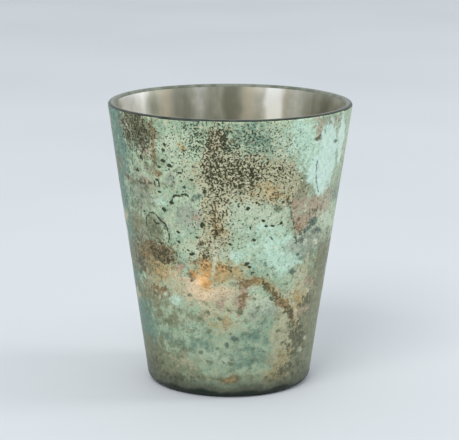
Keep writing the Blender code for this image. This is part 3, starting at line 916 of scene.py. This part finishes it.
def make_candle():
    depth = WAX_HIGH.z - WAX_LOW.z
    steel = STEEL_HIGH.z - STEEL_LOW.z
    outer_r = (WAX_HIGH.x - WAX_LOW.x) / 2
    pool_z = depth - POOL_DEPTH
    recess_z = SUSTAINER_T + GAP
    outline = rounded([
        (WICK_HOLE_R, pool_z, 0),
        (POOL_R, pool_z, POOL_EDGE_R),
        (POOL_R + POOL_BANK, depth, BANK_EDGE_R),
        (outer_r, depth, WAX_TOP_R),
        (TIN_FOOT_R - TIN_WALL - GAP, 0, TIN_CORNER_R),
        (SUSTAINER_R + GAP, 0, 0.1 * MM),
        (SUSTAINER_R + GAP, recess_z, 0),
        (NECK_R + GAP, recess_z, 0),
        (NECK_R + GAP, steel + GAP, 0),
        (WICK_HOLE_R, steel + GAP, 0),
    ])
    outline = filled(outline, lambda middle: 0.7 * MM)

    def slumped(points):
        """The shore of the pool wanders, and the unmelted rim is uneven."""
        radius, _ = around(points)
        top = smoothstep(points[:, 2], depth - 1.2 * MM, depth - 0.9 * MM)
        shore = hump(radius, POOL_R + 0.8 * MM, 1.6 * MM) * top
        shift = 0.7 * MM * field_noise(points * [1, 1, 0], 6 * MM, 2.0) * shore
        points[:, :2] *= (1 + shift / radius)[:, None]
        slump = 0.5 + field_noise(points * [1, 1, 0], 5 * MM, 7.0)
        points[:, 2] -= 0.25 * MM * top * (radius > POOL_R + MM) * slump
        return points

    wax = lathe("wax_candle", outline, TURNS_WAX, on_axis(WAX_LOW.z), ring=True, push=slumped)
    write_fields(wax, {"painted_flame_glow": painted_flame_glow(points_of(wax))})
    wax.data.materials.append(paraffin())
    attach(wax, "candle")
    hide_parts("wax")


def make_pool():
    """The melted wax, with its surface drawn up where it meets the bank and the wick."""
    low = WAX_HIGH.z - POOL_DEPTH + 0.03 * MM
    # The (radius, height) of its outline, in mm.
    at_wick = [(0.9, 0.0), (0.75, 0.62), (1.1, 0.45), (1.8, 0.36)]
    level = [(radius, 0.34) for radius in (4, 7, 10, 12.5, 13.6)]
    at_bank = [(14.3, 0.38), (14.6, 0.46), (13.6, 0.0)]
    outline = [Vector((radius * MM, height * MM)) for radius, height in at_wick + level + at_bank]
    pool = lathe("melted_pool", outline, TURNS_POOL, on_axis(low), ring=True)
    write_fields(pool, {"painted_flame_glow": painted_flame_glow(points_of(pool))})
    pool.data.materials.append(melted_wax())
    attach(pool, "candle")


def wick_line(height):
    """The middle of the wick at that height above its foot."""
    free = WICK_HIGH.z - (WAX_HIGH.z - POOL_DEPTH)
    bent = max(0.0, height - (WAX_HIGH.z - POOL_DEPTH - WICK_LOW.z)) / free
    return AXIS + Vector((-WICK_LEAN * bent**2, 0, WICK_LOW.z + height))


def make_wick():
    """Three strands twisted round each other along the wick's line, with frayed, glowing ends."""
    length = WICK_HIGH.z - WICK_LOW.z - 0.15 * MM
    strand_r = WICK_R * 0.47
    strands, sides, steps, pitch = 3, 10, 120, 2.6 * MM
    points, faces = [], []
    for strand in range(strands):
        start = len(points)
        for step in range(steps + 1):
            height = length * step / steps
            turn = 2 * math.pi / pitch * height + strand * 2 * math.pi / strands
            spread = WICK_R * 0.5 * (1 + 0.25 * smoothstep(height / length, 0.9, 1.0) * strand / 2)
            centre = wick_line(height) + Vector((math.cos(turn), math.sin(turn), 0)) * spread
            taper = 1 - 0.6 * smoothstep(height / length, 0.94, 1.0)
            for side in range(sides):
                angle = 2 * math.pi * side / sides
                points.append(centre + Vector((math.cos(angle), math.sin(angle), 0)) * strand_r * taper)
        for step in range(steps):
            for side in range(sides):
                n = (side + 1) % sides
                low, high = start + step * sides, start + (step + 1) * sides
                faces.append((low + side, low + n, high + n, high + side))
        faces.append(tuple(start + side for side in reversed(range(sides))))
        faces.append(tuple(start + steps * sides + side for side in range(sides)))
    wick = smooth_piece("wick_cord", points, faces)
    rise = (points_of(wick)[:, 2] - WICK_LOW.z) / length
    write_fields(wick, {"char": smoothstep(rise, 0.62, 0.78), "ember": smoothstep(rise, 0.95, 1.0)})
    wick.data.materials.append(wick_cotton())
    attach(wick, "candle")
    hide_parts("wick")


def make_wick_foot():
    """The disc with its stamped ribs, and the neck pinched on to the wick."""
    steel = STEEL_HIGH.z - STEEL_LOW.z
    disc_r = (STEEL_HIGH.x - STEEL_LOW.x) / 2
    outline = rounded([
        (WICK_HOLE_R, steel, 0),
        (NECK_R, steel, STEEL_EDGE_R),
        (NECK_R, SUSTAINER_T, NECK_FLARE_R),
        (disc_r, SUSTAINER_T, STEEL_EDGE_R),
        (disc_r, 0, STEEL_EDGE_R),
        (WICK_HOLE_R, 0, 0),
    ])
    outline = filled(outline, lambda middle: 0.35 * MM)

    def stamped(points):
        ribs, pinches = 12, 3
        radius, angle = around(points)
        rib = 0.06 * MM * (1 + np.cos(angle * ribs)) * hump(radius, 4 * MM, 0.9 * MM)
        points[:, 2] -= rib * (points[:, 2] > SUSTAINER_T * 0.5)
        pinch = hump(points[:, 2], 0.7 * steel, 0.5 * MM) * (radius < 1.5 * MM)
        points[:, :2] *= (1 - 0.07 * pinch * (1 + np.cos(angle * pinches)))[:, None]
        return points

    foot = lathe("wick_foot", outline, TURNS_STEEL, on_axis(STEEL_LOW.z), ring=True, push=stamped)
    foot.data.materials.append(tinned_steel())
    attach(foot, "candle")
    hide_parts("wick_sustainer")


def make_flame():
    """A teardrop of light that follows the wick's lean. The lamp that does its lighting is its child."""
    steps = 40
    outline = []
    for step in range(steps + 1):
        up = 1 - step / steps
        outline.append(Vector((FLAME_GIRTH * up**0.55 * (1 - up)**0.8, up * FLAME_HEIGHT)))
    outline[-1].x = outline[0].x = 0
    base = wick_line(WICK_HIGH.z - WICK_LOW.z - FLAME_OVERLAP)

    def drawn(points):
        rise = points[:, 2] / FLAME_HEIGHT
        points[:, 0] -= FLAME_DRIFT * rise**1.4
        return points

    flame = lathe("flame", outline, TURNS_FLAME, base, push=drawn)
    write_fields(flame, {"up": (points_of(flame)[:, 2] - base.z) / FLAME_HEIGHT})
    flame.data.materials.append(flame_light())
    flame.visible_shadow = False
    lamp = bpy.data.lights.new("flame_lamp", "POINT")
    lamp.energy = 0.025
    lamp.color = (1.0, 0.64, 0.32)
    lamp.shadow_soft_size = 3 * MM
    glow = linked("flame_lamp", lamp)
    glow.location = base + Vector((-1.5 * MM, 0, FLAME_HEIGHT * 0.5))
    glow.parent = flame
    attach(flame, "candle")


# ---- the stage
def make_stage():
    """A pale table top, so wide that its edge is never in view."""
    mesh = bpy.data.meshes.new("table")
    form = bmesh.new()
    bmesh.ops.create_circle(form, cap_ends=True, radius=8.0, segments=96)
    form.to_mesh(mesh)
    form.free()
    table = linked("table", mesh)
    p = Paint("pale_table", Roughness=0.7)
    p.put("Base Color", p.mix(p.ramp(p.noise(0.25, 2), 0.3, 0.7), "d0d5db", "cbd0d6"))
    mesh.materials.append(p.material)


def soft_light(name, place, target, size, power, colour=(1, 1, 1)):
    lamp = bpy.data.lights.new(name, "AREA")
    lamp.shape = "RECTANGLE"
    lamp.size, lamp.size_y = size
    lamp.energy = power
    lamp.color = colour
    light = linked(name, lamp)
    light.location = place
    light.rotation_euler = (Vector(target) - Vector(place)).to_track_quat("-Z", "Y").to_euler()


def make_lights():
    world = bpy.data.worlds.new("room")
    world.use_nodes = True
    background = world.node_tree.nodes["Background"]
    background.inputs["Color"].default_value = (0.95, 0.98, 1.0, 1)
    background.inputs["Strength"].default_value = 0.80
    bpy.context.scene.world = world
    soft_light("window_left", (-0.45, -0.98, 1.2), (0, 0, 0.05), (0.8, 0.8), 12.2, (1.0, 0.98, 0.94))
    soft_light("window_right", (1.5, 0.1, 0.9), (0, 0, 0.06), (0.5, 0.8), 8.0, (1.0, 1.0, 0.98))


def make_camera():
    """The photographed view: a long lens, looking down at about 12 degrees."""
    pitch, roll = 0.2123, 0.0053  # radians
    back, height = 0.6351, 0.190
    camera = bpy.data.cameras.new("camera")
    camera.lens = 154.3
    camera.sensor_width = 36
    camera.clip_start, camera.clip_end = 0.01, 10
    eye = linked("camera", camera)
    ahead = Vector((0, math.cos(pitch), -math.sin(pitch)))
    above = Vector((0, math.sin(pitch), math.cos(pitch)))
    right = Vector((1, 0, 0))
    turned = right * math.cos(roll) + above * math.sin(roll)
    upward = above * math.cos(roll) - right * math.sin(roll)
    axes = Matrix((turned, upward, -ahead)).transposed()
    eye.matrix_world = Matrix.Translation((0, -back, height)) @ axes.to_4x4()
    bpy.context.scene.camera = eye
    bpy.context.scene.view_settings.view_transform = "Standard"


make_glass()
make_tin()
make_candle()
make_pool()
make_wick()
make_wick_foot()
make_flame()
make_stage()
make_lights()
make_camera()
